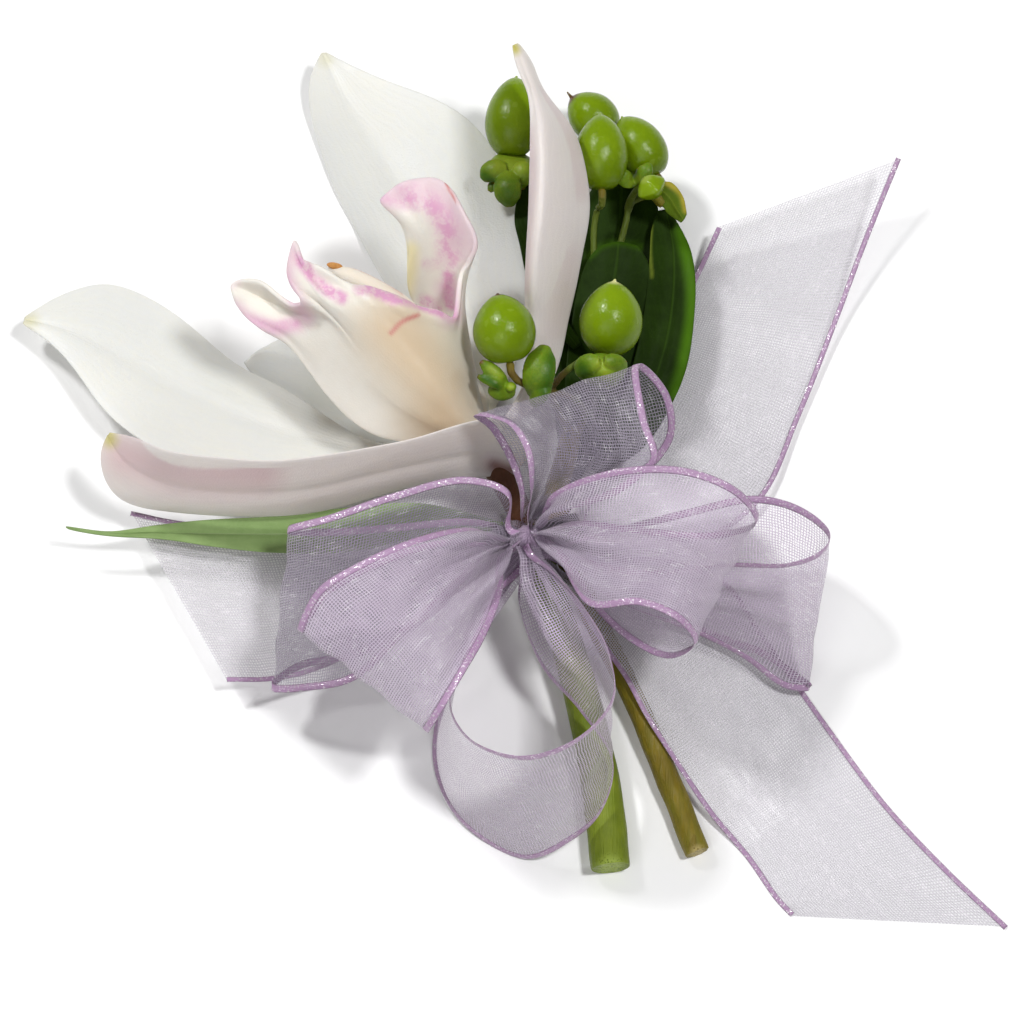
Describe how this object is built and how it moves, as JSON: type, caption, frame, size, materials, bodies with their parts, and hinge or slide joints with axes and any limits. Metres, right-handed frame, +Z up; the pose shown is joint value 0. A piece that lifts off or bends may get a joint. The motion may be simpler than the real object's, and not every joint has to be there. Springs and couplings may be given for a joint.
{
  "type": "corsage",
  "caption": "Corsage lying on its back: an orchid bloom, a sprig of green berries with leaves, cut stems and a bow of sheer ribbon with loops and tails.",
  "frame": {"origin": "on the surface it lies on, under the centre of the bounding box", "axes": "+Z up from the surface; +X to the right and +Y away, as seen from the cut stems' end; the bloom lies towards -X and +Y, the stems and a ribbon tail towards -Y"},
  "size_m": [0.1422, 0.1338, 0.0353],
  "materials": {
    "petal_white": "waxy white living petal with a satin sheen",
    "petal_blush": "waxy petal with a dusty pink blush and faint veins",
    "lip": "cream living petal with magenta marks along its rim",
    "anther": "orange, satin",
    "berry": "glossy yellow-green berry skin",
    "calyx": "green sepals, satin",
    "leaf": "dark green leaf with veins, satin gloss",
    "orchid_stem": "fresh green cut stem, satin",
    "sprig_stem": "olive brown woody stem, matt",
    "organza": "sheer lilac open weave with a shiny wired edge",
    "tape": "green waxed crepe tape, matt",
    "wire": "green painted florist's wire, satin"
  },
  "bodies": {
    "root": {"petal_left": "petal_white", "petal_upper_left": "petal_white", "sepal_back": "petal_white", "sepal_lower_left": "petal_blush", "sepal_upper_right": "petal_blush", "orchid_lip": "lip", "orchid_column": "petal_white", "anther_cap": "anther", "orchid_stem": "orchid_stem", "hypericum_stem": "sprig_stem", "berry_1": "berry", "berry_2": "berry", "berry_3": "berry", "berry_4": "berry", "berry_5": "berry", "berry_6": "berry", "berry_bud": "berry", "calyx_1": "calyx", "calyx_4": "calyx", "calyx_5": "calyx", "calyx_6": "calyx", "leaf_right": "leaf", "leaf_middle": "leaf", "leaf_back": "leaf", "leaf_small": "leaf", "narrow_leaf": "leaf", "bow_loop_top": "organza", "bow_loop_left_back": "organza", "bow_loop_left_front": "organza", "bow_loop_right_front": "organza", "bow_loop_right_back": "organza", "bow_loop_bottom": "organza", "ribbon_tail_upper_right": "organza", "ribbon_tail_lower_right": "organza", "ribbon_tail_left": "organza", "bow_knot": "organza", "stem_tape": "tape", "binding_wire": "wire"}
  },
  "joints": []
}
